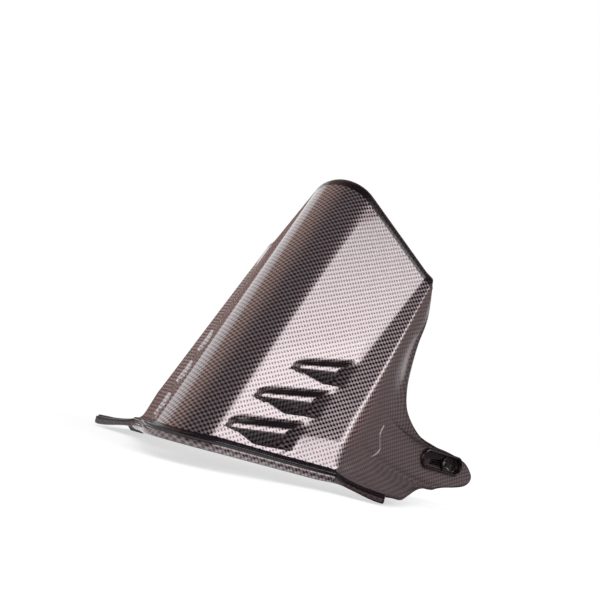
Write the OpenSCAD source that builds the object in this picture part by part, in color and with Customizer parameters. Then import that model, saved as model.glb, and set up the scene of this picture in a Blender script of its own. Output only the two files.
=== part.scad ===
// Rear hugger mudguard: one moulded shell that arches over a motorcycle's rear tyre.
// X points to the rear of the motorcycle, Y to one side, Z up.
// The origin is the bolt hole of the ear on the -Y side, at the floor of its pocket.
// Inside the functions the base rim stands on Z = 0, and placed() moves the whole shell.

/* [Roof] */
// Length of the shoulder line, from the base to the tail's rolled edge
roof_len = 300; // [240:1:380]
// Slope of the roof's ridge above the horizontal, degrees
roof_slope = 46; // [38:0.5:54]
// Half the width across the shoulders at the base
base_half_w = 104; // [92:0.5:125]
// Half the width across the shoulders at the tail
tail_half_w = 95; // [86:0.5:115]
// Height of the ridge above the shoulders, square to the roof
ridge_h = 108; // [90:0.5:130]
// Radius of the rounded crown
crown_r = 37.5; // [28:0.5:48]
// Slope of the side panels in the section, degrees
panel_slope = 56; // [48:0.5:62]
// Wall thickness of the moulding
wall = 3; // [2.4:0.1:4]
// Length of the tail's rolled edge
tail_roll = 9; // [5:0.5:12]
// How far the rolled edge turns in
tail_dip = 4; // [2:0.5:5]

/* [Creases] */
// Half the width across the creases at the tail
crease_tail_y = 88; // [78:0.5:92]
// Half the width across the creases at the upper gill
crease_mid_y = 79; // [70:0.5:84]
// Half the width across the creases at the base
crease_base_y = 67; // [58:0.5:74]

/* [Gills] */
// Height of the lower edge of the top gill
gill_z = 88; // [76:0.5:96]
// Step down from one gill to the next
gill_pitch = 34; // [30:0.5:36]
// Height of a gill's opening where it meets the crease
gill_open = 12; // [8:0.5:14]
// Width of the ledge above each opening
gill_ledge = 4; // [3:0.5:6]
// Height of the sloped wall above each ledge
gill_slope_h = 13; // [9:0.5:15]
// Depth of each ledge under the panel
gill_depth = 5; // [3:0.5:7]
// Depth of the panel's edge at the top of each opening
gill_deep = 13; // [10:0.5:16]
// Gap along the panel between the deep edge and the lip below it
gill_gap = 2; // [1.5:0.5:4]
// How far each opening's lip bows down
gill_bow = 3; // [0:0.5:4]

/* [Base rim] */
// Height at which the roof meets the base rim
rim_h = 12; // [10:0.5:17]
// Width of the rim's ledge
rim_w = 9; // [6:0.5:14]
// Width of the ledge at the wing's front corner
wing_rim_w = 4; // [3:0.5:8]
// Height of the rim at the wing's front corner
wing_rim_h = 6; // [4:0.5:9]
// Drop of the wings' tips below the base
wing_drop = 7; // [2:0.5:10]
// Rise of the rim's lower edge from the wings to the nose
nose_rise = 8; // [0:0.5:8]
// How far back the wing's front corner stands
wing_x = 27; // [10:1:45]
// Half the width across the wings
wing_half_w = 155; // [140:1:175]
// Length of each wing's lower edge
wing_len = 57; // [40:1:75]
// How quickly the skirt falls from the shoulder
skirt_fall = 1.6; // [1.4:0.1:2]
// How late the skirt turns out towards its rim
skirt_turn = 1.5; // [1.2:0.1:2]
// Distance back to the waist of the skirt's rear edge
waist_x = 147; // [130:1:165]
// Height of the waist
waist_z = 100; // [88:1:112]

/* [Ears] */
// Distance back to the ear's bolt hole
ear_x = 245; // [225:1:270]
// Half the distance between the two ears' bolt holes, at the pockets' floors
ear_y = 145.5; // [135:0.5:165]
// Height of the ear's bolt hole
ear_z = 34.5; // [30:0.5:40]
// Distance from the bolt hole back to the ear's tip
ear_back = 48; // [38:1:56]
// Distance from the bolt hole to the pocket's front end
pocket_front = 38; // [28:1:44]
// Distance from the bolt hole to the pocket's back end
pocket_back = 15; // [10:1:20]
// Radius of the pocket's ends
pocket_r = 8; // [7:0.5:9]
// Depth of the pocket
pocket_depth = 6; // [4:0.5:8]
// Height of the pocket's lip over the ear's face
pocket_lip = 0.6; // [0.4:0.1:1.2]
// Radius of the bolt hole, for a fixing bolt of 6 mm
bolt_r = 3.3; // [3:0.1:4.2]
// Angle that the ear turns out from the length of the motorcycle, degrees
ear_turn = 20; // [12:1:26]
// Angle that the pocket drops towards its back, degrees
pocket_tilt = 3; // [0:0.5:6]

/* [Side lug] */
// Distance back to the lug under the far wing
lug_x = 78; // [60:1:95]
// Distance out to the lug
lug_y = 132; // [120:1:140]
// Length of the lug
lug_len = 26; // [18:1:34]
// Drop of the lug under the base
lug_drop = 9; // [6:0.5:14]

/* [Hidden] */

slope_sin = sin(roof_slope);
slope_cos = cos(roof_slope);
crown_y = crown_r * sin(panel_slope);
crown_n = ridge_h - crown_r * (1 - cos(panel_slope));
GILLS = 3;
CROWN_CELLS = 6;
panel_first = CROWN_CELLS + 1;

// Rows that carry the shape: the tail, five for each gill and one at the base rim.
CELLS_BETWEEN = [8, 1, 1, 2, 1, 2, 1, 1, 2, 1, 2, 1, 1, 2, 1, 2];
ROWS_A_GILL = 5;
KEY_ROWS = len(CELLS_BETWEEN) + 1;
PANEL_AT = [0.08, 0.2, 0.4, 0.6, 0.8, 0.93];
SKIRT_AT = [0.25, 0.45, 0.65, 0.83, 1];
TIP_COLUMN = [2, 1, 0];

function mix(a, b, t) = a + (b - a) * t;
function ease(t) = t <= 0 ? 0 : t >= 1 ? 1 : t * t * (3 - 2 * t);
function unit(v) = v / norm(v);

// A point from its place in the roof: distance up the slope, distance out and height over the shoulders.
function roof_point(u, y, n) = [u * slope_cos - n * slope_sin, y, u * slope_sin + n * slope_cos];
function up_slope(z, n) = (z - n * slope_cos) / slope_sin;
function panel_n(y) = crown_n - (y - crown_y) * tan(panel_slope);

// Each key row is [height at the crown, height at the crease, half width of the crease, depth, bow].
// A sunk row stands higher on the panel, so that it shows at the same height from the front.
function gill_low(g) = gill_z - gill_pitch * g;
function crease_y(t) = mix(crease_mid_y, crease_base_y, t);
lift = 0.68 * gill_depth;
function gill_rows(g) = let (z = gill_low(g), t = g / GILLS) [
  [z + 9 + 6 * g, z + gill_open + gill_ledge + gill_slope_h, crease_y(t), 0, 0],
  [z + 7 + 4 * g, z + gill_open + gill_ledge + lift, crease_y(t + 0.07), gill_depth, 0],
  [z + 5 + 3 * g, z + gill_open + lift, crease_y(t + 0.14), gill_depth, 0],
  [z + 1.5 * g * g + gill_gap, z + gill_gap, crease_y(t + 0.2), gill_deep, gill_bow],
  [z + 1.5 * g * g, z, crease_y(t + 0.24), 0, gill_bow]
];
roof_keys = concat(
  [for (g = [0:GILLS - 1]) each gill_rows(g)],
  [[rim_h + nose_rise, rim_h + nose_rise * 0.4, crease_base_y, 0, 0]]
);

// Half of one row from the ridge to the crease, as [u, y, n].
function row_top(k, y, f) =
  let (n = y < crown_y ? crown_n_at(y) : panel_n(y))
  k == 0 ? [roof_len, y, n]
  : let (key = roof_keys[k - 1]) [up_slope(mix(key[0], key[1], f) - key[4] * sin(180 * f), n), y, n];
function crown_n_at(y) = ridge_h - crown_r + sqrt(crown_r * crown_r - y * y);
function key_crease_y(k) = k == 0 ? crease_tail_y : roof_keys[k - 1][2];
function key_crease(k) = row_top(k, key_crease_y(k), 1);
function crest_y(u) = mix(base_half_w, tail_half_w, u / roof_len);
crest_start = rim_h / slope_sin;
crease_top = key_crease(1)[0];
crease_foot = key_crease(KEY_ROWS - 1)[0];
function key_crest_u(k) =
  let (c = key_crease(k)[0], t = max(0, (crease_top - c) / (crease_top - crease_foot)))
  k == 0 ? roof_len : c + (crest_start - crease_foot) * t;
function key_crest(k) = let (u = key_crest_u(k)) [u, crest_y(u), 0];

// A row between two key rows, as points in space.
function both(k, t, p, q) = roof_point(mix(p[0], q[0], t), mix(p[1], q[1], t), mix(p[2], q[2], t));
function crown_at(k, t, a) =
  let (y = crown_r * sin(a)) both(k, t, row_top(k, y, 0), row_top(k + 1, y, 0));
function panel_at(k, t, f) =
  both(
    k, t,
    row_top(k, mix(crown_y, key_crease_y(k), f), f),
    row_top(k + 1, mix(crown_y, key_crease_y(k + 1), f), f)
  );
function crease_at(k, t) = both(k, t, key_crease(k), key_crease(k + 1));
function crest_at(k, t) = both(k, t, key_crest(k), key_crest(k + 1));
function flare_at(k, t, f) = mix(crease_at(k, t), crest_at(k, t), f);

// A point on the ear's outer face: distance back from the bolt hole, and height over it.
ear_face = [ear_x - pocket_depth * sin(ear_turn), ear_y + pocket_depth * cos(ear_turn), ear_z];
function ear_point(back, h) = ear_face + [back * cos(ear_turn), back * sin(ear_turn), h];

// The outer rim of the skirt, from the tail's corner round the ear to the wing's front corner.
tail_corner = roof_point(roof_len, tail_half_w, 0);
rim_keys = [
  tail_corner + [3, 0.5, -7],
  [mix(waist_x, tail_corner[0], 0.74), tail_half_w + 7, mix(waist_z, tail_corner[2], 0.66)],
  [mix(waist_x, tail_corner[0], 0.38), tail_half_w + 11, mix(waist_z, tail_corner[2], 0.43)],
  [waist_x + 9, tail_half_w + 15, waist_z + 25],
  [waist_x, tail_half_w + 19, waist_z],
  [waist_x + 8, tail_half_w + 24, mix(ear_z, waist_z, 0.65)],
  [waist_x + 34, mix(tail_half_w, ear_y, 0.7), ear_z + 21.5],
  ear_point(-32, 13.5),
  ear_point(0, 9.5),
  ear_point(ear_back * 0.54, 4.5),
  ear_point(ear_back * 0.84, -2.5),
  ear_point(ear_back, -10.5),
  ear_point(ear_back * 0.82, -18.5),
  ear_point(ear_back * 0.26, -23.5),
  ear_point(-18, -27.5),
  [ear_x - 55, ear_y - 1.5, 8],
  [ear_x - 95, mix(wing_half_w, ear_y, 0.7), 7],
  [wing_x + wing_len + 28, wing_half_w - 3, 2],
  [wing_x + wing_len, wing_half_w, -wing_drop * 0.45],
  [mix(wing_x, wing_x + wing_len, 0.5), wing_half_w + 2, -wing_drop * 0.3],
  [wing_x, wing_half_w, wing_rim_h - wing_drop]
];
LAST_KEY = len(rim_keys) - 1;
function rim_at(s) =
  let (
    m = s * LAST_KEY,
    i = min(floor(m), LAST_KEY - 1),
    f = m - i,
    a = rim_keys[max(0, i - 1)],
    b = rim_keys[i],
    c = rim_keys[i + 1],
    d = rim_keys[min(LAST_KEY, i + 2)]
  )
  b + ((c - a) * f + (2 * a - 5 * b + 4 * c - d) * f * f + (3 * b - a - 3 * c + d) * f * f * f) / 2;
// The skirt falls quickly at first and turns out at its rim, so its rows never cross the rim.
function skirt_at(c, r, v) =
  [mix(c[0], r[0], v), mix(c[1], r[1], pow(v, skirt_turn)), mix(c[2], r[2], 1 - pow(1 - v, skirt_fall))];

// Depth of a gill's pocket, which grows from its tip and eases off at the crease.
function gill_of(k) = min(GILLS - 1, floor((max(1, k) - 1) / ROWS_A_GILL));
function key_depth(k) = k == 0 ? 0 : roof_keys[k - 1][3];
function pocket(k, t, f) =
  let (start = PANEL_AT[TIP_COLUMN[gill_of(k)]], share = ease((f - start + 0.04) / 0.5))
  mix(key_depth(k), key_depth(k + 1), t) * share * (f > 0.9 ? 0.7 : 1);
panel_out = let (p = [0, sin(panel_slope), cos(panel_slope)])
  [-p[2] * slope_sin, p[1], p[2] * slope_cos];

function half_row(k, t, s) =
  let (
    crease = crease_at(k, t),
    crest = crest_at(k, t),
    rim = rim_at(s),
    panel = [for (f = PANEL_AT) panel_at(k, t, f) - panel_out * pocket(k, t, f)],
    flare_in = flare_at(k, t, 0.14),
    flare_out = flare_at(k, t, 0.84),
    skirt_in = skirt_at(crest, rim, 0.08)
  )
  concat(
    [for (i = [0:CROWN_CELLS]) crown_at(k, t, panel_slope * i / CROWN_CELLS)],
    panel,
    [(panel[len(panel) - 1] + 2 * crease + flare_in) / 4, flare_in, flare_at(k, t, 0.5), flare_out],
    [(flare_out + 2 * crest + skirt_in) / 4, skirt_in],
    [for (v = SKIRT_AT) skirt_at(crest, rim, v)]
  );

row_places = concat(
  [for (k = [0:KEY_ROWS - 2], c = [0:CELLS_BETWEEN[k] - 1]) [k, c / CELLS_BETWEEN[k]]],
  [[KEY_ROWS - 2, 1]]
);
ROOF_ROWS = len(row_places);
function across(h) = concat([for (i = [len(h) - 1:-1:1]) [h[i][0], -h[i][1], h[i][2]]], h);
roof_rows = [
  for (r = [0:ROOF_ROWS - 1]) across(half_row(row_places[r][0], row_places[r][1], r / (ROOF_ROWS - 1)))
];
COLUMNS = len(roof_rows[0]);
MIDDLE = (COLUMNS - 1) / 2;

// The base rim: a ledge that runs round the foot of the roof, turned down at its outer edge.
foot = roof_rows[ROOF_ROWS - 1];
function plan_out(j) =
  let (a = foot[max(0, j - 1)], b = foot[min(COLUMNS - 1, j + 1)], d = unit([b[0] - a[0], b[1] - a[1]]))
  [-abs(d[1]), d[1] > 0 ? d[0] : -d[0], 0];
nose_x = up_slope(rim_h + nose_rise, ridge_h) * slope_cos - ridge_h * slope_sin;
function along_wing(p) = min(1, max(0, (abs(p[1]) - base_half_w) / (wing_half_w - base_half_w)));
function base_z(p) = p[0] < 0 ? nose_rise * p[0] / nose_x : -wing_drop * along_wing(p);
function rim_reach(p) = mix(rim_w, wing_rim_w, along_wing(p));
RIM_PROFILE = [[0.3, 0.1], [0.9, 0.14], [1.05, 0.3], [1.05, 1]];
rim_rows = [
  for (q = RIM_PROFILE) [
    for (j = [0:COLUMNS - 1])
      let (p = foot[j]) [p[0], p[1], mix(p[2], base_z(p), q[1])] + plan_out(j) * rim_reach(p) * q[0]
  ]
];

function span(rows, i, j) =
  let (
    a = rows[max(0, i - 1)][j],
    b = rows[min(len(rows) - 1, i + 1)][j],
    c = rows[i][max(0, j - 1)],
    d = rows[i][min(COLUMNS - 1, j + 1)]
  )
  unit(cross(d - c, b - a));

// The tail's edge rolls in before it is cut, as [share of its length, share of its dip].
TAIL_PROFILE = [[1, 1], [0.6, 0.37]];
function side_of(j) = min(MIDDLE + panel_first + 4, max(MIDDLE - panel_first - 4, j));
tail_rows = [
  for (q = TAIL_PROFILE) [
    for (j = [0:COLUMNS - 1])
      roof_rows[0][j] + [slope_cos, 0, slope_sin] * tail_roll * q[0]
      - span(roof_rows, 0, side_of(j)) * tail_dip * q[1]
  ]
];
outer_rows = concat(tail_rows, roof_rows, rim_rows);
TAIL_ROWS = len(tail_rows);
ROWS = len(outer_rows);
inner_rows = [
  for (i = [0:ROWS - 1]) [for (j = [0:COLUMNS - 1]) outer_rows[i][j] - span(outer_rows, i, j) * wall]
];

// Openings of the gills, as [first row, first column, last column] in the grid of cells.
function key_row(k) = k == 0 ? 0 : key_row(k - 1) + CELLS_BETWEEN[k - 1];
function gap_row(g) = key_row(ROWS_A_GILL * g + 4) + TAIL_ROWS;
holes = [
  for (g = [0:GILLS - 1], side = [-1, 1])
    let (a = panel_first + TIP_COLUMN[g], b = panel_first + len(PANEL_AT) - 1)
    side > 0 ? [gap_row(g), MIDDLE + a, MIDDLE + b]
    : [gap_row(g), MIDDLE - b, MIDDLE - a]
];
function open_cell(i, j) = len([for (h = holes) if (i == h[0] && j >= h[1] && j < h[2]) 1]) > 0;

TOTAL = ROWS * COLUMNS;
function at(i, j, inside) = inside * TOTAL + i * COLUMNS + j;
function quad(a, b, c, d) = [[a, b, c], [a, c, d]];
function wall_strip(i1, j1, i2, j2) = quad(at(i1, j1, 0), at(i1, j1, 1), at(i2, j2, 1), at(i2, j2, 0));

skin_faces = [
  for (i = [0:ROWS - 2], j = [0:COLUMNS - 2])
    if (!open_cell(i, j)) each concat(
      quad(at(i, j, 0), at(i + 1, j, 0), at(i + 1, j + 1, 0), at(i, j + 1, 0)),
      quad(at(i, j, 1), at(i, j + 1, 1), at(i + 1, j + 1, 1), at(i + 1, j, 1))
    )
];
edge_faces = concat(
  [for (j = [0:COLUMNS - 2]) each wall_strip(0, j + 1, 0, j)],
  [for (j = [0:COLUMNS - 2]) each wall_strip(ROWS - 1, j, ROWS - 1, j + 1)],
  [for (i = [0:ROWS - 2]) each wall_strip(i, 0, i + 1, 0)],
  [for (i = [0:ROWS - 2]) each wall_strip(i + 1, COLUMNS - 1, i, COLUMNS - 1)]
);
hole_faces = [
  for (h = holes) each concat(
    [for (j = [h[1]:h[2] - 1]) each wall_strip(h[0], j, h[0], j + 1)],
    [for (j = [h[1]:h[2] - 1]) each wall_strip(h[0] + 1, j + 1, h[0] + 1, j)],
    wall_strip(h[0] + 1, h[1], h[0], h[1]),
    wall_strip(h[0], h[2], h[0] + 1, h[2])
  )
];

// The moulded skin of constant thickness with the six gill openings.
module skin() {
  polyhedron(
    points = concat([for (r = outer_rows) each r], [for (r = inner_rows) each r]),
    faces = concat(skin_faces, edge_faces, hole_faces)
  );
}

// Places a shape at one ear's bolt hole, with its own Z pointing out of the pocket.
module at_ear(side) {
  translate([ear_x, side * ear_y, ear_z])
    rotate([0, 0, side * ear_turn])
      rotate([-side * 90, 0, 0])
        rotate([0, 0, side * pocket_tilt]) children();
}

// A straight oval from the pocket's front end to its back end.
module oval(radius, height) {
  linear_extrude(height = height)
    union() {
      translate([pocket_back, 0]) circle(r = radius, $fn = 40);
      translate([-pocket_front, 0]) circle(r = radius, $fn = 40);
      translate([-pocket_front, -radius]) square([pocket_front + pocket_back, 2 * radius]);
    }
}

module pocket_body(side) {
  at_ear(side)
    translate([0, 0, -wall]) oval(pocket_r + wall, pocket_depth + wall + pocket_lip);
}

module pocket_cuts(side) {
  at_ear(side) {
    oval(pocket_r, pocket_depth + 20);
    translate([0, 0, -wall - 10]) cylinder(r = bolt_r, h = wall + 20, $fn = 48);
  }
}

// The lug that hangs under the wing on one side only.
module side_lug() {
  translate([lug_x, lug_y, -lug_drop])
    rotate([90, 0, 90])
      linear_extrude(height = 5, center = true)
        polygon([[-lug_len / 2, lug_drop + 12], [lug_len / 2, lug_drop + 12], [lug_len / 2, lug_drop - 2],
          [lug_len / 4, 0], [-lug_len / 4, 0], [-lug_len / 2, lug_drop - 3]]);
}

module placed() {
  translate([-ear_x, ear_y, -ear_z]) children();
}

module mudguard_shell() {
  color("#2b2326")
    placed()
      difference() {
        union() {
          skin();
          pocket_body(1);
          pocket_body(-1);
          side_lug();
        }
        pocket_cuts(1);
        pocket_cuts(-1);
      }
}

mudguard_shell();
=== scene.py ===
# Rear hugger mudguard: a moulded shell with a printed carbon weave under lacquer, on a pale studio floor
import bmesh
import bpy
import numpy as np
from mathutils import Matrix, Vector


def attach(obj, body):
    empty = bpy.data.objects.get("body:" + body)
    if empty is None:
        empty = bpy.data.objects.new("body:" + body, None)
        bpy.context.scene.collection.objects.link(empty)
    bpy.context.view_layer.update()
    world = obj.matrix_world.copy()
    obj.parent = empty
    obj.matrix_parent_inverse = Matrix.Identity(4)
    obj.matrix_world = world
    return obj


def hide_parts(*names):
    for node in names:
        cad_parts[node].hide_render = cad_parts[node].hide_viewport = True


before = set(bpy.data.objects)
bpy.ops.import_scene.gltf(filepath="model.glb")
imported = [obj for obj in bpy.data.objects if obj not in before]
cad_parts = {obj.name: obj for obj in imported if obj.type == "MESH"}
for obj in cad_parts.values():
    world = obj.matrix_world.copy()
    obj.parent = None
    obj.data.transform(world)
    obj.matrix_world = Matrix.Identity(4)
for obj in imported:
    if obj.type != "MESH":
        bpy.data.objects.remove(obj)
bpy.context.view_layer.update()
mm = 0.001
mergeDistance = 1e-6  # points of a mesh closer than this, in metres, become one
printScale = 0.01  # one unit of the print's map is 100 mm
tiny = 1e-9  # keeps a length that is divided by from being nothing

# Shell, in millimetres and degrees. X runs to the rear, Y across, Z up, and the base rim stands on Z = 0.
shell = {
    "ridgeLength": 300.0, "ridgeSlope": 46.0, "baseHalfWidth": 104.0, "tailHalfWidth": 95.0,
    "ridgeHeight": 108.0, "crownRadius": 37.5, "panelSlope": 56.0, "wall": 3.0,
    "creaseTail": 88.0, "creaseMiddle": 79.0, "creaseBase": 67.0,
    "tailRoll": 8.2, "tailDip": 3.4, "rollRows": 7, "rollPower": 1.6,
    "rimHeight": 12.0, "rimWidth": 9.0, "noseRise": 8.0, "noseShare": 0.4,
    "wingHalfWidth": 155.0, "wingDrop": 7.0, "wingRimWidth": 4.0,
    "skirtFall": 1.6, "skirtTurn": 1.5, "skirtStart": 0.06,
    # Rows of points between the key rows, and the share of the skirt's outer edge between them
    "rowsBetween": (50, 9, 4, 12, 3, 7, 9, 4, 12, 3, 7, 9, 4, 12, 3, 9),
    "skirtShare": (8, 1, 1, 2, 1, 2, 1, 1, 2, 1, 2, 1, 1, 2, 1, 2),
    "crownColumns": 14, "panelColumns": 44, "bendColumns": 5, "flareColumns": 10, "skirtColumns": 42,
    "bendShare": 0.14,  # how much of the flare's width each rounded corner takes
    "footHeight": 37.0, "footShift": 11.0, "footInner": 0.35,  # the flare's foot stands back, to face the key
    "edgeBlend": 5.0, "endBlend": 3.0, "rimBlend": 12.0, "endRows": 4,  # how far its facing is smoothed
    "stripSides": 5,  # faces round the half-round edge of the sheet
}
# Gills: sizes in millimetres, and shares of the panel's width from the crown at 0 to the crease at 1
gill = {
    "z": 88.0, "pitch": 34.0, "open": 12.0, "ledge": 5.5, "slope": 11.5, "depth": 5.0, "deep": 13.0,
    "gap": 2.0, "bow": 3.0, "lift": 0.68,  # a sunk row stands higher, so that it shows at the same height
    "crownRise": ((9, 6), (7, 4), (5, 3)), "crownFall": 1.5,  # a gill's rows at the crown, over and under z
    "creaseShares": (0, 0.07, 0.14, 0.2, 0.24),  # places of a gill's rows along the crease
    "tips": (0.32, 0.13, 0.03), "end": 0.93, "crowd": 0.03, "slotStart": 0.15,
    "point": 0.5, "pointPower": 0.8, "leastOpen": 0.03, "shutRun": 0.1,
    "depthStart": 0.02, "depthRun": 0.14, "endRun": 0.05, "endRise": 0.3, "roundness": 0.6,
}
rowsAGill = 5
wallPart, lensPart, slotPart = 0, 2, 3  # a gill's bands of rows; 1 is its ledge and 4 the panel under its lip
# Where the print gives way to plain black at the edges, in shares of the panel or of a band of rows, and in
# mm at the tail
# In the gills the same blackening is painted shade: the walls' band, the lenses and the deep ends
blackAndShade = {
    "run": 0.03, "lens": 0.75, "lensStart": 0.01, "end": 0.905, "endRun": 0.02, "endDepth": 1.2,
    "bandRun": 0.3, "bandPower": 0.6, "bandTop": (0.5, 0.2), "bandFoot": (0.62, 1.1), "bandEdge": 0.12,
    "tailBand": 6.5, "tailEdge": 0.8, "tailRows": 8, "lip": 0.52,
}
# How faint the print is: on the skirt past this share of its width, on the crown's ridge and on the rim
faintness = {"skirtRun": 0.12, "crown": 0.3, "rim": 0.4}
# Ears, in millimetres: the bolt hole's place at the pocket's floor, and the oval pocket round it
ear = {
    "x": 245.0, "y": 145.5, "z": 34.5, "turn": 20.0, "tilt": 3.0, "reach": 46.3,
    "front": -38.0, "back": 15.0, "pocketRadius": 8.0, "pocketDepth": 6.0, "boltRadius": 3.3,
    "roundPoints": 28,  # points on each half-round end of an oval
}


# Moves points from the shell's millimetres to the frame's metres, where an ear's bolt hole is the origin
def place(points):
    return (np.asarray(points, float) + (-ear["x"], ear["y"], -ear["z"])) * mm


# Part t of the way from a to b
def mix(a, b, t):
    return a + (b - a) * t


# Rises from 0 to 1 with a level start and end: three times t squared, less two times t cubed
def ease(t):
    t = np.clip(t, 0, 1)
    return t * t * (3 - 2 * t)


# Vectors over their own length
def unit(v):
    return v / np.maximum(np.linalg.norm(v, axis=-1, keepdims=True), tiny)


slopeSin, slopeCos = np.sin(np.radians(shell["ridgeSlope"])), np.cos(np.radians(shell["ridgeSlope"]))
upSlope = np.array([slopeCos, 0, slopeSin])
panelAngle = np.radians(shell["panelSlope"])
panelOut = np.array([-np.cos(panelAngle) * slopeSin, np.sin(panelAngle), np.cos(panelAngle) * slopeCos])
crownY = shell["crownRadius"] * np.sin(panelAngle)
crownN = shell["ridgeHeight"] - shell["crownRadius"] * (1 - np.cos(panelAngle))


# A point from its distance up the slope, distance out and height over the shoulders
def roofPoint(u, y, n):
    return np.stack([u * slopeCos - n * slopeSin, y, u * slopeSin + n * slopeCos], -1)


# Each key row is [height at the crown, height at the crease, half width of the crease, depth, bow]
def keyRows():
    s = shell
    lift = gill["lift"] * gill["depth"]
    rows = []
    for g in range(3):
        z = gill["z"] - gill["pitch"] * g
        low, lip = z + gill["crownFall"] * g * g, gill["gap"]
        ledge = z + gill["open"] + gill["ledge"]
        crown = [z + rise + more * g for rise, more in gill["crownRise"]]
        crease = [mix(s["creaseMiddle"], s["creaseBase"], g / 3 + share) for share in gill["creaseShares"]]
        rows.append([crown[0], ledge + gill["slope"], crease[0], 0, 0])
        rows.append([crown[1], ledge + lift, crease[1], gill["depth"], 0])
        rows.append([crown[2], z + gill["open"] + lift, crease[2], gill["depth"], 0])
        rows.append([low + lip, z + lip, crease[3], gill["deep"], gill["bow"]])
        rows.append([low, z, crease[4], 0, gill["bow"]])
    foot = s["rimHeight"] + s["noseShare"] * s["noseRise"]
    rows.append([s["rimHeight"] + s["noseRise"], foot, s["creaseBase"], 0, 0])
    return np.array(rows, float)


keys = keyRows()
keyCount = len(keys) + 1


# Height over the shoulders of the crown's arc, and of the straight panel past it
def sectionHeight(y):
    r = shell["crownRadius"]
    arc = shell["ridgeHeight"] - r + np.sqrt(np.maximum(r ** 2 - y * y, 0))
    return np.where(y < crownY, arc, crownN - (y - crownY) * np.tan(panelAngle))


# Half width of the crease on key row k, where row 0 is the tail
def keyCrease(k):
    return np.where(k == 0, shell["creaseTail"], keys[np.maximum(k - 1, 0), 2])


# Slope distance, distance out and height of key row k at half width y and panel share f
def rowTop(k, y, f):
    n = sectionHeight(y)
    row = keys[np.maximum(k - 1, 0)]
    height = mix(row[..., 0], row[..., 1], f) - row[..., 4] * np.sin(np.pi * np.clip(f, 0, 1))
    u = (height - n * slopeCos) / slopeSin
    return np.stack(np.broadcast_arrays(np.where(k == 0, shell["ridgeLength"], u), y, n), -1)


creaseTop = rowTop(np.array(1), keyCrease(np.array(1)), 1)[0]
creaseFoot = rowTop(np.array(keyCount - 1), keyCrease(np.array(keyCount - 1)), 1)[0]
crestStart = shell["rimHeight"] / slopeSin


# Where key row k meets the shoulder line: its place runs from tail to base as the crease's does, and the
# line's half width narrows evenly up the slope
def keyCrest(k):
    crease = rowTop(k, keyCrease(k), 1)[..., 0]
    t = np.maximum(0, (creaseTop - crease) / (creaseTop - creaseFoot))
    u = np.where(k == 0, shell["ridgeLength"], crease + (crestStart - creaseFoot) * t)
    y = mix(shell["baseHalfWidth"], shell["tailHalfWidth"], u / shell["ridgeLength"])
    return np.stack([u, y, np.zeros_like(u)], -1)


tailCorner = roofPoint(shell["ridgeLength"], shell["tailHalfWidth"], 0.0)


# A point of the ear's outer edge: distance back from the bolt hole, and height over it
def earPoint(back, height):
    turn = np.radians(ear["turn"])
    faceX, faceY = ear["x"] - ear["pocketDepth"] * np.sin(turn), ear["y"] + ear["pocketDepth"] * np.cos(turn)
    return faceX + back * np.cos(turn), faceY + back * np.sin(turn), ear["z"] + height


# The skirt's outer edge: tail corner, waist, round the ear, then the wing
rimKeys = np.array([
    tailCorner + (3, 0.5, -7), (198, 102, 177), (173, 106, 150), (156, 110, 125), (147, 114, 100),
    (155, 119, 77), (181, 130.4, 56), earPoint(-32, 13.5), earPoint(0, 9.5), earPoint(25.5, 4.5),
    earPoint(39.5, -2.5), earPoint(ear["reach"], -10.5), earPoint(38.5, -18), earPoint(12.5, -22.5),
    earPoint(-18, -26.5),
    (190, 144, 9), (150, 148.4, 8), (112, 152, 3), (84, 154, -1), (55.5, 155, 0.5), (28, 153.5, 1.5),
])


# A smooth line through the skirt's keys: a cubic between each two, with slopes from their neighbours
def rimAt(s):
    last = len(rimKeys) - 1
    m = np.clip(s, 0, 1) * last
    i = np.minimum(m.astype(int), last - 1)
    t = (m - i)[:, None]
    p0, p1 = rimKeys[np.maximum(i - 1, 0)], rimKeys[i]
    p2, p3 = rimKeys[i + 1], rimKeys[np.minimum(i + 2, last)]
    return 0.5 * (2 * p1 + (p2 - p0) * t + (2 * p0 - 5 * p1 + 4 * p2 - p3) * t ** 2
                  + (3 * p1 - p0 - 3 * p2 + p3) * t ** 3)


# Points of a rounded corner: a quadratic curve from a to b that is pulled towards the corner
def bend(a, corner, b, count):
    t = np.linspace(0, 1, count + 2)[1:-1][None, :, None]
    return a[:, None] * (1 - t) ** 2 + 2 * corner[:, None] * t * (1 - t) + b[:, None] * t ** 2


# Camera: fitted to the photograph's outline, in the shell's millimetres and radians
view = {
    "centre": (60.0, 0.0, 90.0), "distance": 1600.0, "turn": 0.3704, "rise": 0.0081, "roll": 0.2474,
    "pixelsPerMm": 1.0169, "centreColumn": 271.2334, "centreRow": 366.5681, "frame": 600.0,
}


# Unit vectors of the camera: to its right, up its picture, and back from the object
def cameraWays():
    turn, rise, roll = view["turn"], view["rise"], view["roll"]
    back = np.array([-np.cos(turn) * np.cos(rise), -np.sin(turn) * np.cos(rise), np.sin(rise)])
    flat = np.array([np.sin(turn), -np.cos(turn), 0])
    up = np.cross(flat, -back)
    up = up if up[2] > 0 else -up
    return np.cos(roll) * flat + np.sin(roll) * up, np.cos(roll) * up - np.sin(roll) * flat, back


# Where points of the shell show in the photograph, as column and row
def shownAt(points):
    right, up, back = cameraWays()
    reach = np.asarray(points, float) - (np.array(view["centre"]) + back * view["distance"])
    scale = view["pixelsPerMm"] * view["distance"] / -(reach @ back)
    column, row = view["centreColumn"] + reach @ right * scale, view["centreRow"] - reach @ up * scale
    return np.stack([column, row], -1)


# How far a gill's lens is open along the panel: a point at its tip, then a power of the distance past it, up
# to its full height
def openAt(number, f):
    past = f - np.array(gill["tips"])[number]
    opening = np.clip((past + blackAndShade["lensStart"]) / gill["point"], gill["leastOpen"], 1) ** gill["pointPower"]
    return np.maximum(opening, ease(-past / gill["shutRun"]))
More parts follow.
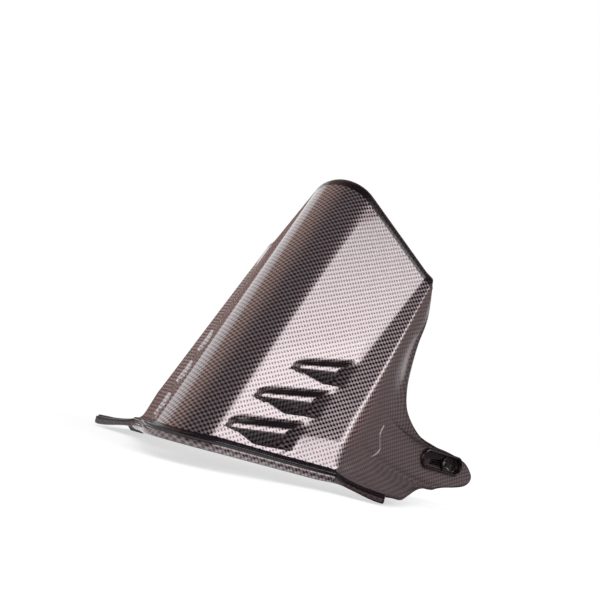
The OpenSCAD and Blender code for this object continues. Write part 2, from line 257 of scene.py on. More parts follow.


# How deep the gills are sunk and how much painted shade darkens them, at share t of the rows past key row k
# and
# share f of the panel: each has a sloped wall, a ledge, then a surface that falls away behind the lip of the
# slot
def gillShape(k, t, f):
    number = np.clip((k - 1) // rowsAGill, 0, 2)
    part = np.where((k > 0) & (k < keyCount - 2), (k - 1) % rowsAGill, -1)
    past = f - np.array(gill["tips"])[number]
    rounded = mix(t, ease(t), gill["roundness"])
    deep = mix(gill["depth"], gill["deep"], openAt(number, f))
    depthKeys = np.concatenate([[0], keys[:, 3]])
    dip = mix(depthKeys[k], depthKeys[k + 1], rounded)
    dip = np.where(part == lensPart, mix(gill["depth"], deep, rounded), dip)
    dip = np.where(part == slotPart, deep * (1 - rounded), dip)
    stop = 1 - ease((f - gill["end"] + gill["endRun"]) / gill["endRun"]) * gill["endRise"]
    depth = dip * ease((past + gill["depthStart"]) / gill["depthRun"]) * stop

    # The painted shade band over the ledge starts as a point and widens
    grown = np.clip(past / blackAndShade["bandRun"], 0, 1) ** blackAndShade["bandPower"]
    band = ease((t - mix(*blackAndShade["bandTop"], grown)) / blackAndShade["bandEdge"])
    band = band * ease((mix(*blackAndShade["bandFoot"], grown) - t) / blackAndShade["bandEdge"])
    dark = np.where(part == wallPart, band * ease((past + gill["depthStart"]) / blackAndShade["run"]), 0.0)
    # The lens and the slot get painted shade in place of most of the print
    dull = blackAndShade["lens"] * ease((past + blackAndShade["lensStart"]) / blackAndShade["run"])
    dark = np.where((part == lensPart) | (part == slotPart), dull, dark)
    # Painted shade at the gill's deep end near the crease, where it is sunk
    paintedEndShade = ease((f - blackAndShade["end"]) / blackAndShade["endRun"]) * ease(depth / blackAndShade["endDepth"])
    return depth, np.maximum(dark, paintedEndShade)


# How plain and how faint the print is on half the surface: plain black at the tail and painted shade in the
# gills.
# The plain share goes below 0 and above 1 at a sharp edge
def printTraits(points, dark, v, first):
    plainOrShade, faint = np.zeros(points.shape[:2]), np.zeros(points.shape[:2])
    # On the panel the plain share is the gills' painted shade
    plainOrShade[:, first[1]:first[2]] = dark
    tail = (slice(0, blackAndShade["tailRows"]), slice(0, first[5]))
    fromTail = shell["ridgeLength"] - points[tail] @ upSlope
    plainOrShade[tail] = (blackAndShade["tailBand"] - fromTail) / blackAndShade["tailEdge"] + 0.5
    plainOrShade[0] = 1.0
    faint[:, first[5]:] = ease(v[..., 0] / faintness["skirtRun"])
    faint[:, :first[1]] = faintness["crown"] * (1 - np.linspace(0, 1, shell["crownColumns"] + 1) ** 2)
    return plainOrShade, faint


# One side's outer surface from the ridge to the skirt's edge, rows by columns. Each part is mixed between two
# key rows and between its two edges. It returns the places, the print's coordinates in mm with its traits,
# each gill's slot as first and last row and column, and the columns where the crown, panel, bend, flare, bend
# and skirt begin.
def halfShell():
    s = shell
    k = np.concatenate([np.full(n, i) for i, n in enumerate(s["rowsBetween"])] + [[keyCount - 2]])
    t = np.concatenate([np.arange(n) / n for n in s["rowsBetween"]] + [[1.0]])
    before = np.concatenate([[0], np.cumsum(s["skirtShare"])])
    rim = rimAt((before[k] + t * np.array(s["skirtShare"])[k]) / before[-1])
    k, t = k[:, None], t[:, None, None]

    def between(make):
        p = mix(make(k), make(k + 1), t)
        return roofPoint(p[..., 0], p[..., 1], p[..., 2])

    # A key row on the panel; a lens's deep edge and lip are drawn up to its ledge as far as it is shut
    def panelRow(q):
        row = rowTop(q, mix(crownY, keyCrease(q), f), f)
        r = (q - 1) % rowsAGill
        ledge = np.minimum(q - r + lensPart, keyCount - 1)
        upper = rowTop(ledge, mix(crownY, keyCrease(ledge), f), f)
        share = openAt(np.clip((q - 1) // rowsAGill, 0, 2), f)[..., None]
        return np.where(((q > 0) & (r > lensPart))[..., None], mix(upper, row, share), row)

    angle = np.linspace(0, panelAngle, s["crownColumns"] + 1)[None]
    crown = between(lambda q: rowTop(q, s["crownRadius"] * np.sin(angle) + 0 * q, 0 * angle))
    f = np.linspace(0, gill["end"], s["panelColumns"] + 1)[None, 1:]
    f = f + gill["crowd"] * np.sin(np.pi * f / gill["end"])  # columns stand closer near the gills' ends
    flatPanel = between(panelRow)
    # dark is the gills' painted shade
    depth, dark = gillShape(k, t[:, 0], f)
    panel = flatPanel - panelOut * depth[..., None]
    crease = between(lambda q: rowTop(q, keyCrease(q), 1))[:, 0]
    crest = between(keyCrest)[:, 0]
    flareIn, flareOut = mix(crease, crest, s["bendShare"]), mix(crease, crest, 1 - s["bendShare"])
    flare = mix(flareIn[:, None], flareOut[:, None], np.linspace(0, 1, s["flareColumns"])[None, :, None])
    v = np.linspace(s["skirtStart"], 1, s["skirtColumns"])[None, :, None]
    ways = np.concatenate([v, v ** s["skirtTurn"], 1 - (1 - v) ** s["skirtFall"]], -1)
    skirt = mix(crest[:, None], rim[:, None], ways)
    parts = [crown, panel, bend(panel[:, -1], crease, flareIn, s["bendColumns"]), flare,
             bend(flareOut, crest, skirt[:, 0], s["bendColumns"]), skirt]
    points = np.concatenate(parts, 1)
    first = np.cumsum([0] + [p.shape[1] for p in parts])
    shift = np.zeros(points.shape[:2])
    shift[:, first[3]:first[4]] = np.linspace(s["footInner"], 1, s["flareColumns"])
    shift[:, first[4]:first[5]] = 1.0
    shift[:, first[5]:] = (1 - v[..., 0]) ** 2
    points[..., 0] += shift * s["footShift"] * np.clip(1 - points[..., 2] / s["footHeight"], 0, 1)

    # Print coordinates in mm on the panel before its gills are sunk: out along the section, and up the slope
    flatBend = bend(flatPanel[:, -1], crease, flareIn, s["bendColumns"])
    flat = np.concatenate([crown, flatPanel, flatBend, points[:, first[3]:]], 1)
    step = np.diff(flat, axis=1)
    step = step - (step @ upSlope)[..., None] * upSlope
    u = np.concatenate([np.zeros((len(points), 1)), np.cumsum(np.linalg.norm(step, axis=-1), 1)], 1)
    spans = []
    for g, tip in enumerate(gill["tips"]):
        slot = rowsAGill * g + slotPart + 1
        row = sum(s["rowsBetween"][:slot])
        column = first[1] + int(np.searchsorted(f[0], tip + gill["slotStart"]))
        spans.append((row, row + s["rowsBetween"][slot], column, first[2] - 1))
    traits = np.stack([u, flat @ upSlope, *printTraits(points, dark, v, first)], -1)
    return points, traits, spans, first


# Both sides of a half surface, with its columns running from one skirt to the other
def across(half, flip):
    return np.concatenate([(half * flip)[:, :0:-1], half], 1)


# Unit vectors along a line of points, blurred: each takes in its neighbours with a weight that falls off with
# the square of their distance over reach, as a bell curve
def blurAlong(values, points, reach):
    step = np.linalg.norm(np.diff(points, axis=0), axis=-1)
    along = np.concatenate([[0], np.cumsum(step)])
    width = np.gradient(along) + 1e-6
    weight = np.exp(-((along[:, None] - along[None]) / reach) ** 2) * width
    return unit(weight @ values)


rimProfile = np.array([  # distance out as a share of the rim's width, and drop as a share of its height
    (0.04, 0.03), (0.1, 0.09), (0.2, 0.14), (0.4, 0.17), (0.62, 0.18), (0.82, 0.2), (0.95, 0.25), (1.0, 0.33),
    (0.98, 0.4), (0.93, 0.44), (0.92, 0.5), (0.97, 0.54), (1.02, 0.6), (1.03, 0.7), (1.02, 0.8), (0.98, 0.9),
    (0.88, 1.0),
])


# The whole outer surface from skirt to skirt, with the tail's rolled edge above it and the base rim below
def wholeShell():
    half, traits, spans, first = halfShell()
    rows = across(half, (1, -1, 1))
    traits = across(traits, (-1, 1, 1, 1))
    foot = rows[-1]
    along = unit(np.gradient(foot[:, :2], axis=0))
    side = np.where(along[:, 1] > 0, 1, -1)
    away = np.stack([-np.abs(along[:, 1]), along[:, 0] * side, 0 * side], -1)
    away = blurAlong(away, foot, shell["rimBlend"])
    inside = shell["baseHalfWidth"]
    wing = ease((np.abs(foot[:, 1]) - inside) / (shell["wingHalfWidth"] - inside))
    noseX = foot[:, 0].min()
    base = np.where(foot[:, 0] < 0, shell["noseRise"] * foot[:, 0] / noseX, -shell["wingDrop"] * wing)
    reach = mix(shell["rimWidth"], shell["wingRimWidth"], wing)[:, None]
    down = (foot[:, 2] - base)[:, None] * (0, 0, 1)
    rim = np.stack([foot + away * reach * q - down * d for q, d in rimProfile])
    n = blurAlong(np.cross(np.gradient(rows[0], axis=0), rows[0] - rows[1]), rows[0], shell["edgeBlend"])
    n = n * np.sign(n[len(n) // 2, 2])
    roll = np.linspace(1, 0, shell["rollRows"] + 1)[:-1, None, None]
    tail = rows[0] + upSlope * shell["tailRoll"] * roll - n * shell["tailDip"] * roll ** shell["rollPower"]
    grid = np.concatenate([tail, rows, rim])
    fall = np.cumsum(np.linalg.norm(np.diff(np.concatenate([rows[-1:], rim]), axis=0), axis=-1), 0)[..., None]
    upPrint, plainOne, faintOne = np.eye(4)[1:]
    lip = np.where(rimProfile[:, 1] < blackAndShade["lip"], 1.0, 0.0)[:, None, None]
    tailTraits = traits[:1] + upPrint * shell["tailRoll"] * roll + plainOne
    rimTraits = traits[-1:] - fall * upPrint + lip * plainOne + faintOne * faintness["rim"]
    traits = np.concatenate([tailTraits, traits, rimTraits])
    return grid, traits, spans, len(tail), len(rim), half, first


# A closed skin: an outer grid, an inner one a wall's thickness under it, and a half-round strip on each edge
def buildShell(grid, traits, spans, tailRows, rimRows):
    rowCount, columnCount = grid.shape[:2]
    middle = (columnCount - 1) // 2
    solid = np.ones((rowCount - 1, columnCount - 1), bool)
    rowWay, columnWay = np.gradient(grid, axis=0), np.gradient(grid, axis=1)
    for a, b, c, d in spans:
        for low, high in ((middle + c, middle + d), (middle - d, middle - c)):
            top, lip = a + tailRows, b + tailRows
            solid[top:lip, low:high] = False
            rowWay[top, low:high + 1] = grid[top, low:high + 1] - grid[top - 1, low:high + 1]
            rowWay[lip, low:high + 1] = grid[lip + 1, low:high + 1] - grid[lip, low:high + 1]
    facing = unit(np.cross(columnWay, rowWay))
    facing = np.stack([blurAlong(n, p, shell["edgeBlend"]) for n, p in zip(facing, grid)])
    firstRows, lastRows = tailRows + shell["endRows"], rimRows + shell["endRows"] + 1
    for band in (slice(0, firstRows), slice(rowCount - lastRows, rowCount)):
        for j in range(columnCount):
            facing[band, j] = blurAlong(facing[band, j], grid[band, j], shell["endBlend"])
    inner = grid - facing * shell["wall"]
    index = np.arange(rowCount * columnCount).reshape(rowCount, columnCount)
    a, b, c, d = index[:-1, :-1], index[1:, :-1], index[1:, 1:], index[:-1, 1:]
    outerFaces = np.stack([a, b, c, d], -1)[solid]
    total = rowCount * columnCount
    innerFaces = outerFaces[:, ::-1] + total

    # Edges of the sheet: where one neighbouring cell is solid and the other isn't
    padded = np.zeros((rowCount + 1, columnCount + 1), bool)
    padded[1:-1, 1:-1] = solid
    up, low = padded[:-1, 1:-1], padded[1:, 1:-1]
    left, right = padded[1:-1, :-1], padded[1:-1, 1:]
    i, j = np.nonzero(up != low)
    edges = [np.stack([index[i, j], index[i, j + 1], np.where(low[i, j], -1, 1), 0 * i], -1)]
    i, j = np.nonzero(left != right)
    edges.append(np.stack([index[i, j], index[i + 1, j], np.where(right[i, j], -1, 1), 0 * i + 1], -1))
    edges = np.concatenate(edges)
    flat, flatIn = grid.reshape(-1, 3), inner.reshape(-1, 3)
    start = edges[:, 0]
    rowAhead, columnAhead = unit(rowWay).reshape(-1, 3)[start], unit(columnWay).reshape(-1, 3)[start]
    way = np.where(edges[:, 3:4] == 0, rowAhead, columnAhead) * edges[:, 2:3]
    run = unit(flat[edges[:, 1]] - flat[start])
    way = unit(way - (way * run).sum(-1, keepdims=True) * run)
    outward = np.zeros_like(flat)
    np.add.at(outward, edges[:, 0], way)
    np.add.at(outward, edges[:, 1], way)
    rimPoint = np.unique(edges[:, :2])
    outward = unit(outward[rimPoint])
    p, q = flat[rimPoint], flatIn[rimPoint]
    radius = np.linalg.norm(p - q, axis=-1, keepdims=True) / 2
    angles = np.linspace(0, np.pi, shell["stripSides"] + 1)[1:-1]
    strip = [(p + q) / 2 + (p - q) / 2 * np.cos(g) + outward * radius * np.sin(g) for g in angles]
    lookup = np.full(total, -1)
    lookup[rimPoint] = np.arange(len(rimPoint))
    rings, ends = [[e, *[2 * total + m * len(rimPoint) + lookup[e] for m in range(len(angles))], e + total]
                   for e in (edges[:, 0], edges[:, 1])]
    stripFaces = np.concatenate([np.stack([rings[m], rings[m + 1], ends[m + 1], ends[m]], -1)
                                 for m in range(len(angles) + 1)])
    points = np.concatenate([flat, flatIn, *strip])
    faces = np.concatenate([outerFaces, innerFaces, stripFaces])
    traits = traits.reshape(-1, 4)
    traits = np.concatenate([traits, traits, *[traits[rimPoint]] * len(angles)])
    kind = np.repeat([0, 2, 1], [len(outerFaces), len(innerFaces), len(stripFaces)])  # each face's material
    used = np.unique(faces)
    renumber = np.zeros(len(points), int)
    renumber[used] = np.arange(len(used))
    return points[used], renumber[faces], traits[used], kind


# Makes a mesh object from arrays of points and four-sided faces, with normals turned outwards
def newPiece(name, points, faces, traits=None, kind=None):
    mesh = bpy.data.meshes.new(name)
    mesh.from_pydata(place(points).tolist(), [], faces.tolist())
    if traits is not None:
        loopPoint = np.zeros(len(mesh.loops), int)
        mesh.loops.foreach_get("vertex_index", loopPoint)
        for layerName, columns, scale in (("print", slice(0, 2), printScale), ("finish", slice(2, 4), 1.0)):
            layer = mesh.uv_layers.new(name=layerName)
            layer.data.foreach_set("uv", (traits[loopPoint, columns] * scale).ravel())
    if kind is not None:
        mesh.polygons.foreach_set("material_index", kind)
    mesh.polygons.foreach_set("use_smooth", np.ones(len(mesh.polygons), bool))
    work = bmesh.new()
    work.from_mesh(mesh)
    bmesh.ops.remove_doubles(work, verts=work.verts, dist=mergeDistance)
    bmesh.ops.recalc_face_normals(work, faces=work.faces)
    work.to_mesh(mesh)
    work.free()
    piece = bpy.data.objects.new(name, mesh)
    bpy.context.scene.collection.objects.link(piece)
    return piece


# Origin and axes of an ear: along the pocket to the rear, across it, and out of the face
def earFrame(side):
    turn, tilt = np.radians(ear["turn"]), np.radians(ear["tilt"])
    along = np.array([np.cos(turn) * np.cos(tilt), side * np.sin(turn) * np.cos(tilt), -np.sin(tilt)])
    outWay = np.array([-np.sin(turn), side * np.cos(turn), 0])
    return np.array([ear["x"], side * ear["y"], ear["z"]]), along, np.cross(outWay, along), outWay


# Faces between rings of points, each ring closed on itself
def ringFaces(rings, sides):
    i = np.arange(rings - 1)[:, None] * sides
    j, jn = np.arange(sides)[None], (np.arange(sides)[None] + 1) % sides
    return np.stack([i + j, i + jn, i + sides + jn, i + sides + j], -1).reshape(-1, 4)


# Sweeps a profile of (radius, height) round a straight oval that runs from front to back
def ovalSurface(profile, front, back, side):
    origin, along, cross, outWay = earFrame(side)
    count = ear["roundPoints"]
    halfTurn = np.linspace(-np.pi / 2, np.pi / 2, count)
    angle = np.concatenate([halfTurn, halfTurn + np.pi])
    centre = np.concatenate([np.full(count, back), np.full(count, front)])
    profile = np.array(profile, float)
    x = centre[None] + profile[:, :1] * np.cos(angle)[None]
    y = profile[:, :1] * np.sin(angle)[None]
    h = profile[:, 1:] + 0 * x
    points = origin + x[..., None] * along + y[..., None] * cross + h[..., None] * outWay
    return points.reshape(-1, 3), ringFaces(*points.shape[:2])


# Cuts one closed mesh out of another and keeps the result as the piece's own mesh
def cutWith(piece, cutter):
    modifier = piece.modifiers.new("cut", "BOOLEAN")
    modifier.operation, modifier.object, modifier.solver = "DIFFERENCE", cutter, "EXACT"
    bpy.context.view_layer.update()
    result = bpy.data.meshes.new_from_object(piece.evaluated_get(bpy.context.evaluated_depsgraph_get()))
    piece.modifiers.remove(modifier)
    piece.data = result
    bpy.data.objects.remove(cutter)


print("shell surface")
grid, traits, spans, tailRows, rimRows, half, first = wholeShell()
shellPiece = newPiece("shell_skin", *buildShell(grid, traits, spans, tailRows, rimRows))

print("ears")
# A cup fills an oval cut in each ear, with a raised lip, and a collar stands round its bolt hole.
# A profile is a list of (radius, height) in mm, and its heights start at the pocket's floor.
cup = {"spare": 0.8, "cutLow": -6.0, "cutHigh": 16.0, "lip": 0.6, "drill": 3.0}
collar = {"inside": 0.2, "outside": 2.9, "sunk": -0.4, "side": 1.3, "top": 1.8, "edge": 0.5}
r, top = ear["pocketRadius"], ear["pocketDepth"] + cup["lip"]
wall, boltRadius = shell["wall"], ear["boltRadius"]
low, high, wide = cup["cutLow"], cup["cutHigh"], r + cup["spare"]
cutProfile = [(0, low), (wide, low), (wide, high), (0, high)]
cupProfile = [(0, 0), (r - 1.6, 0), (r - 0.5, 0.4), (r, 1.6), (r, top - 0.9), (r + 0.35, top - 0.25),
              (r + 0.9, top), (r + 1.6, top - 0.15), (r + 2.6, top - 0.9), (r + 2.8, top - 4),
              (r + 1.8, 1 - wall), (r - 0.5, -wall), (0, -wall)]
low, high = -wall - cup["drill"], cup["drill"]
boltProfile = [(0, low), (boltRadius, low), (boltRadius, high), (0, high)]
a, b, edge = boltRadius + collar["inside"], boltRadius + collar["outside"], collar["edge"]
low, high = collar["sunk"], collar["side"]
collarProfile = [(a, low), (a, high), (a + edge, collar["top"]), (b - edge, collar["top"]), (b, high),
                 (b, low), (a, low)]
small = []
for side, name in ((-1, "a"), (1, "b")):
    cutWith(shellPiece, newPiece("cutter", *ovalSurface(cutProfile, ear["front"], ear["back"], side)))
    pocket = newPiece("ear_pocket_" + name, *ovalSurface(cupProfile, ear["front"], ear["back"], side))
    cutWith(pocket, newPiece("drill", *ovalSurface(boltProfile, 0, 0, side)))
    small += [pocket, newPiece("bolt_collar_" + name, *ovalSurface(collarProfile, 0, 0, side))]

print("beads and lug")
# Hook-shaped bead moulded on each skirt: its line in columns and rows of the photograph, laid on the skirt
hook = {
    "line": ((385, 424), (382, 429), (379.5, 435), (379.5, 443), (380, 450), (376, 454.5), (370, 457.5)),
    "radius": 1.5, "flat": 0.5, "points": 40, "sides": 12, "smooth": 2.5,
}


# The surface point that shows nearest to each point of the line is moved along the surface until it shows
# there. A flattened ring is carried along these points, and its radius grows from nothing at both ends with
# the square root of a sine.
def hookBead(side):
    line, count = np.array(hook["line"], float), hook["points"]
    share = np.linspace(0, 1, count)
    fine = np.stack([np.interp(share, np.linspace(0, 1, len(line)), line[:, i]) for i in (0, 1)], -1)
    skirt = half[:, first[5]:] * (1, -1, 1)
    shown = shownAt(skirt)
    rowWay, columnWay = np.gradient(shown, axis=0), np.gradient(shown, axis=1)
    spaceRow, spaceColumn = np.gradient(skirt, axis=0), np.gradient(skirt, axis=1)
    away = ((shown[None] - fine[:, None, None]) ** 2).sum(-1).reshape(count, -1)
    i, j = np.unravel_index(away.argmin(1), shown.shape[:2])
    ways = np.stack([rowWay[i, j], columnWay[i, j]], -1)
    move = np.linalg.solve(ways, (fine - shown[i, j])[..., None])
    path = skirt[i, j] + spaceRow[i, j] * move[:, 0] + spaceColumn[i, j] * move[:, 1]
    facing = unit(np.cross(spaceRow[i, j], spaceColumn[i, j]))
    apart = np.arange(count)[:, None] - np.arange(count)
    smooth = np.exp(-(apart / hook["smooth"]) ** 2)
    path = smooth @ path / smooth.sum(1, keepdims=True)
    facing = unit(smooth @ (facing * np.sign(-facing[:, 1:2])))
    runWay = unit(np.gradient(path, axis=0))
    sideWay = np.cross(runWay, facing)
    radius = hook["radius"] * np.sqrt(np.clip(np.sin(share * np.pi) * 2, 0, 1))[:, None, None]
    angle = np.linspace(0, 2 * np.pi, hook["sides"] + 1)[:-1][None, :, None]
    section = np.cos(angle) * facing[:, None] * hook["flat"] + np.sin(angle) * sideWay[:, None]
    rings = path[:, None] + radius * section
    rings = rings * (1, -side, 1)
    return rings.reshape(-1, 3), ringFaces(*rings.shape[:2])


small += [newPiece("skirt_bead_a", *hookBead(-1)), newPiece("skirt_bead_b", *hookBead(1))]

# Lug under the far wing: a flat plate with its lower corners cut off
lug = {
    "x": 78.0, "y": 132.0, "length": 26.0, "thickness": 5.0,
    "topIn": 8.5, "topOut": -1.8, "footIn": -3.0, "footOut": -3.5, "drop": 9.0, "middle": -4.0,
}
h = lug["length"] / 2
outline = np.array([(-h, lug["topIn"]), (h, lug["topOut"]), (h, lug["footOut"]), (h / 2, -lug["drop"]),
                    (-h / 2, -lug["drop"]), (-h, lug["footIn"])])
rings = []
for offset, size in ((-0.5, 0), (-0.5, 1), (0.5, 1), (0.5, 0)):  # from one face's middle to the other's
    height = np.where(size, outline[:, 1], lug["middle"])
    x = np.full(len(outline), lug["x"] + offset * lug["thickness"])
    rings.append(np.stack([x, lug["y"] + outline[:, 0] * size, height], -1))
rings = np.array(rings)
small.append(newPiece("side_lug", rings.reshape(-1, 3), ringFaces(*rings.shape[:2])))


# An sRGB hex colour as linear red, green, blue and alpha
def linear(code):
    part = np.array([int(code[i:i + 2], 16) / 255 for i in (1, 3, 5)])
    part = np.where(part <= 0.04045, part / 12.92, ((part + 0.055) / 1.055) ** 2.4)
    return (*part, 1.0)


# A material with its tree and its shader
def newMaterial(name):
    material = bpy.data.materials.new(name)
    material.use_nodes = True
    return material, material.node_tree, material.node_tree.nodes["Principled BSDF"]


# Adds a node. Settings are its properties, or its inputs as i and a number; links are (input, output socket).
def addNode(tree, kind, links=(), **settings):
    node = tree.nodes.new(kind)
    for key, value in settings.items():
        if hasattr(node, key):
            setattr(node, key, value)
        else:
            node.inputs[int(key[1:])].default_value = value
    for where, source in links:
        tree.links.new(source, node.inputs[where])
    return node


# The weave: pitch of its checks in mm, their turn on the shell in degrees, where a check begins and ends, its
# colours and gloss, and how the skirt's duller print, the bare edges and the gills' painted shade differ
weave = {
    "pitch": 4.1, "turn": 57.0, "from": -1.3, "to": 1.25, "faint": 0.4, "calm": 0.55,
    "light": "#dac8cb", "dark": "#332b31", "resinAndShade": "#251d23", "skirt": "#544346", "skirtTint": 0.6,
    "metal": 0.8, "bareMetal": 0.05, "dull": 0.15, "glossDark": 0.12, "glossLight": 0.42,
    "skirtCoat": 0.1, "bareCoat": 0.3, "coatRoughness": 0.04,
}


# ABS with a printed weave under clear lacquer: silver checks that flash where a light is mirrored
def carbonPrint():
    material, tree, shader = newMaterial("carbonPrintLacquer")
    printMap, finish = [addNode(tree, "ShaderNodeUVMap", uv_map=name) for name in ("print", "finish")]
    scale = 1 / printScale / weave["pitch"] * 2 * np.pi
    mapped = addNode(tree, "ShaderNodeMapping", [(0, printMap.outputs[0])], vector_type="POINT",
                     i2=(0, 0, np.radians(weave["turn"])), i3=(scale, scale, scale))
    apart = addNode(tree, "ShaderNodeSeparateXYZ", [(0, mapped.outputs[0])])
    cosX, cosY = [addNode(tree, "ShaderNodeMath", [(0, apart.outputs[i])], operation="COSINE")
                  for i in (0, 1)]
    both = addNode(tree, "ShaderNodeMath", [(0, cosX.outputs[0]), (1, cosY.outputs[0])], operation="ADD")
    check = addNode(tree, "ShaderNodeMapRange", [(0, both.outputs[0])], interpolation_type="SMOOTHSTEP",
                    i1=weave["from"], i2=weave["to"], i3=0.0, i4=1.0)

    # The second map holds how plain and how faint the print is; in the gills plain means painted shade
    traits = addNode(tree, "ShaderNodeSeparateXYZ", [(0, finish.outputs[0])])
    plainOrShade, faint = traits.outputs[0], traits.outputs[1]
    calm = addNode(tree, "ShaderNodeMapRange", [(0, faint)], i3=0.0, i4=weave["calm"])
    calmed = addNode(tree, "ShaderNodeMix", [(0, calm.outputs[0]), (2, check.outputs[0])], data_type="FLOAT",
                     i3=weave["faint"])
    printed = addNode(tree, "ShaderNodeMath", [(1, plainOrShade)], operation="SUBTRACT", i0=1.0, use_clamp=True)
    checks = addNode(tree, "ShaderNodeMix", [(0, calmed.outputs[0])], data_type="RGBA",
                     i6=linear(weave["dark"]), i7=linear(weave["light"]))
    tint = addNode(tree, "ShaderNodeMath", [(0, faint)], operation="MULTIPLY", i1=weave["skirtTint"])
    toned = addNode(tree, "ShaderNodeMix", [(0, tint.outputs[0]), (6, checks.outputs[2])], data_type="RGBA",
                    i7=linear(weave["skirt"]))
    # Resin black where plain: bare edges, and painted shade in the gills
    colour = addNode(tree, "ShaderNodeMix", [(0, printed.outputs[0]), (7, toned.outputs[2])],
                     data_type="RGBA", i6=linear(weave["resinAndShade"]))
    tree.links.new(colour.outputs[2], shader.inputs["Base Color"])
    gloss = addNode(tree, "ShaderNodeMapRange", [(0, calmed.outputs[0])],
                    i3=weave["glossDark"], i4=weave["glossLight"])
    tree.links.new(gloss.outputs[0], shader.inputs["Roughness"])

    # Silver and lacquer: one share by the print and one by its faintness, multiplied
    shares = (("Metallic", printed.outputs[0], weave["bareMetal"], weave["metal"], weave["dull"]),
              ("Coat Weight", plainOrShade, 1.0, weave["bareCoat"], weave["skirtCoat"]))
    for socket, source, low, high, least in shares:
        first = addNode(tree, "ShaderNodeMapRange", [(0, source)], i3=low, i4=high)
        second = addNode(tree, "ShaderNodeMapRange", [(0, faint)], i3=1.0, i4=least)
        product = addNode(tree, "ShaderNodeMath", [(0, first.outputs[0]), (1, second.outputs[0])],
                          operation="MULTIPLY")
        tree.links.new(product.outputs[0], shader.inputs[socket])
    shader.inputs["Coat Roughness"].default_value = weave["coatRoughness"]
    return material


# The same black ABS where the print stops: a plain dark gloss on the edges, pockets, collars and lug
def plainLacquer():
    material, _, shader = newMaterial("blackGlossAbs")
    shader.inputs["Base Color"].default_value = linear("#241d22")
    shader.inputs["Roughness"].default_value = 0.25
    shader.inputs["Coat Weight"].default_value = 1.0
    shader.inputs["Coat Roughness"].default_value = 0.05
    return material


# The mould's unlacquered inner face: plain black ABS with a dull sheen
def rawAbs():
    material, _, shader = newMaterial("mouldedBlackAbs")
    shader.inputs["Base Color"].default_value = linear("#1d1a1c")
    shader.inputs["Roughness"].default_value = 0.55
    return material


print("materials")
carbon, glossBlack, raw = carbonPrint(), plainLacquer(), rawAbs()
for material in (carbon, glossBlack, raw):
    shellPiece.data.materials.append(material)
for piece in small:
    piece.data.materials.append(carbon if piece.name.startswith("skirt_bead") else glossBlack)
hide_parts("mudguard_shell")
for piece in (shellPiece, *small):
    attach(piece, "root")

print("stage")
# Stage: floor, cards, lamp and world
studio = {"floorZ": -0.0445, "floorSize": 30.0, "glow": 0.6, "world": 1.0, "fill": 0.5}
centre = Vector(place(view["centre"]))


# A flat face of the stage through four corners
def stagePlane(name, corners, material):
    mesh = bpy.data.meshes.new(name)
    mesh.from_pydata([tuple(c) for c in corners], [], [(0, 1, 2, 3)])
    plane = bpy.data.objects.new(name, mesh)
    bpy.context.scene.collection.objects.link(plane)
    mesh.materials.append(material)
    return plane


# 1 for rays of the camera, of gloss and of transmission, and 0 for soft light
def seenRay(tree):
    path = addNode(tree, "ShaderNodeLightPath")
    seen = addNode(tree, "ShaderNodeMath", operation="ADD",
                   links=[(0, path.outputs["Is Camera Ray"]), (1, path.outputs["Is Glossy Ray"])])
    return addNode(tree, "ShaderNodeMath", [(0, seen.outputs[0]), (1, path.outputs["Is Transmission Ray"])],
                   operation="ADD", use_clamp=True)


white = linear("#ffffff")
floorMaterial, tree, shader = newMaterial("paleFloor")
shader.inputs["Base Color"].default_value = linear("#f2f2f2")
shader.inputs["Roughness"].default_value = 0.9
shader.inputs["Specular IOR Level"].default_value = 0.0
shader.inputs["Emission Color"].default_value = white
glow = addNode(tree, "ShaderNodeMath", [(0, seenRay(tree).outputs[0])], operation="MULTIPLY",
               i1=studio["glow"])
tree.links.new(glow.outputs[0], shader.inputs["Emission Strength"])
h, z = studio["floorSize"] / 2, studio["floorZ"]
stagePlane("floor", [(-h, -h, z), (h, -h, z), (h, h, z), (-h, h, z)], floorMaterial)

world = bpy.data.worlds.new("studio")
bpy.context.scene.world = world
world.use_nodes = True
tree = world.node_tree
background = tree.nodes["Background"]
background.inputs[0].default_value = white
level = addNode(tree, "ShaderNodeMapRange", [(0, seenRay(tree).outputs[0])],
                i3=studio["fill"], i4=studio["world"])
tree.links.new(level.outputs[0], background.inputs[1])


# A dull card that only reflections see, which leaves the floor and the object's own light alone
def asCard(plane):
    plane.visible_camera = plane.visible_diffuse = plane.visible_shadow = False


# Matt card, which has no gloss of its own
def dullMaterial(name):
    material, tree, shader = newMaterial(name)
    shader.inputs["Roughness"].default_value = 1.0
    shader.inputs["Specular IOR Level"].default_value = 0.0
    return material, tree, shader


# Matt card of one colour
def cardMaterial(name, colour):
    material, _, shader = dullMaterial(name)
    shader.inputs["Base Color"].default_value = linear(colour)
    return material


# The way to a place in the studio: azimuth 0 is -Y and 90 is +X
def studioWay(azimuth, elevation):
    a, e = np.radians(azimuth), np.radians(elevation)
    return Vector((np.sin(a) * np.cos(e), -np.cos(a) * np.cos(e), np.sin(e)))


# A card that faces the mudguard: its middle lies along the way to it, and its width lies level
def card(name, material, azimuth, elevation, width, height, distance):
    way = studioWay(azimuth, elevation)
    right = Vector((np.cos(np.radians(azimuth)), np.sin(np.radians(azimuth)), 0))
    top = right.cross(way) * -1
    middle = centre + way * distance
    across, up = right * width / 2, top * height / 2
    asCard(stagePlane(name, [middle - across - up, middle + across - up, middle + across + up,
                             middle - across + up], material))


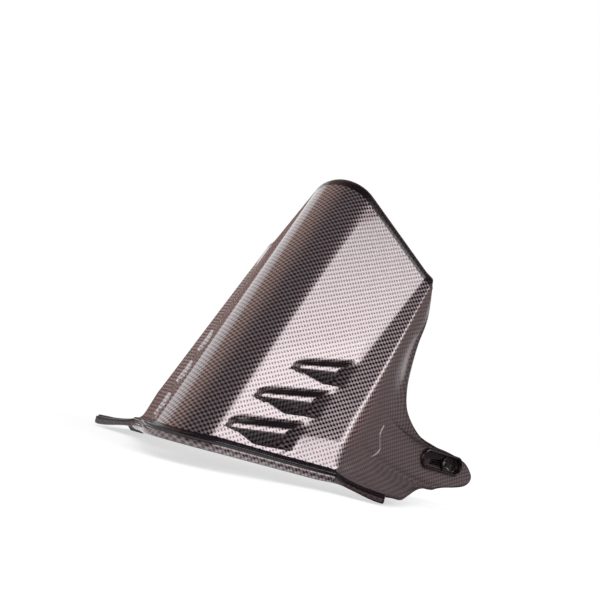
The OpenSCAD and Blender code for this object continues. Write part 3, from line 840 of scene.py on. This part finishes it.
# The card overhead runs along Y, between two places in metres, from dark purple to warm white on the far side
def gradedCard(name, low, high, colourLow, colourHigh):
    material, tree, shader = dullMaterial(name)
    where = addNode(tree, "ShaderNodeTexCoord")
    apart = addNode(tree, "ShaderNodeSeparateXYZ", [(0, where.outputs["Object"])])
    share = addNode(tree, "ShaderNodeMapRange", [(0, apart.outputs["Y"])], i1=low, i2=high)
    colour = addNode(tree, "ShaderNodeMix", [(0, share.outputs[0])], data_type="RGBA",
                     i6=linear(colourLow), i7=linear(colourHigh))
    tree.links.new(colour.outputs[2], shader.inputs["Base Color"])
    return material


brownCard = cardMaterial("brownCard", "#a58680")
purpleCard = gradedCard("purpleCard", 0.15, 1.05, "#433846", "#ffdcc8")
# Each card's material, azimuth and elevation in degrees, and width, height and distance in metres
cards = {
    "card_overhead": (purpleCard, 0, 85, 3.6, 3.6, 1.5),
    "card_near": (brownCard, 55, 2, 5.0, 1.1, 2.4),
    "card_rear": (brownCard, 82, 20, 3.4, 2.2, 2.3),
    "card_front": (brownCard, -40, 12, 5.0, 2.5, 2.4),
    "card_far": (brownCard, 140, 0, 5.4, 1.2, 2.4),
}
for name, sizes in cards.items():
    card(name, *sizes)
# A dark card just over the floor in front of the mudguard, so that its flanks mirror dark there
z, reach, back = studio["floorZ"] + mm, 1.6, 0.03
corners = [(-reach, -reach, z), (reach, -reach, z), (reach, back, z), (-reach, back, z)]
asCard(stagePlane("card_floor", corners, cardMaterial("darkCard", "#6a5d66")))

# Key lamp: a softbox that the near panel and the flare's foot mirror
key = {"azimuth": 22, "elevation": 31, "width": 0.95, "height": 0.5, "distance": 2.0, "power": 3.8}
way = studioWay(key["azimuth"], key["elevation"])
lampData = bpy.data.lights.new("key", "AREA")
lampData.shape, lampData.size, lampData.size_y = "RECTANGLE", key["width"], key["height"]
lampData.energy = key["power"]
lamp = bpy.data.objects.new("key", lampData)
lamp.location = centre + way * key["distance"]
lamp.rotation_mode = "QUATERNION"
lamp.rotation_quaternion = way.to_track_quat("Z", "Y")
bpy.context.scene.collection.objects.link(lamp)

print("camera")
sensorWidth = 36.0
right, up, back = cameraWays()
cameraData = bpy.data.cameras.new("camera")
cameraData.sensor_width = sensorWidth
cameraData.lens = sensorWidth * view["pixelsPerMm"] * view["distance"] / view["frame"]
cameraData.shift_x = (view["frame"] / 2 - view["centreColumn"]) / view["frame"]
cameraData.shift_y = (view["centreRow"] - view["frame"] / 2) / view["frame"]
camera = bpy.data.objects.new("camera", cameraData)
matrix = Matrix.Identity(4)
for column, way in enumerate((right, up, back)):
    for row in range(3):
        matrix[row][column] = way[row]
matrix.translation = Vector(place(np.array(view["centre"]) + back * view["distance"]))
camera.matrix_world = matrix
bpy.context.scene.collection.objects.link(camera)
bpy.context.scene.camera = camera
bpy.context.scene.view_settings.view_transform = "Standard"

bpy.context.view_layer.update()
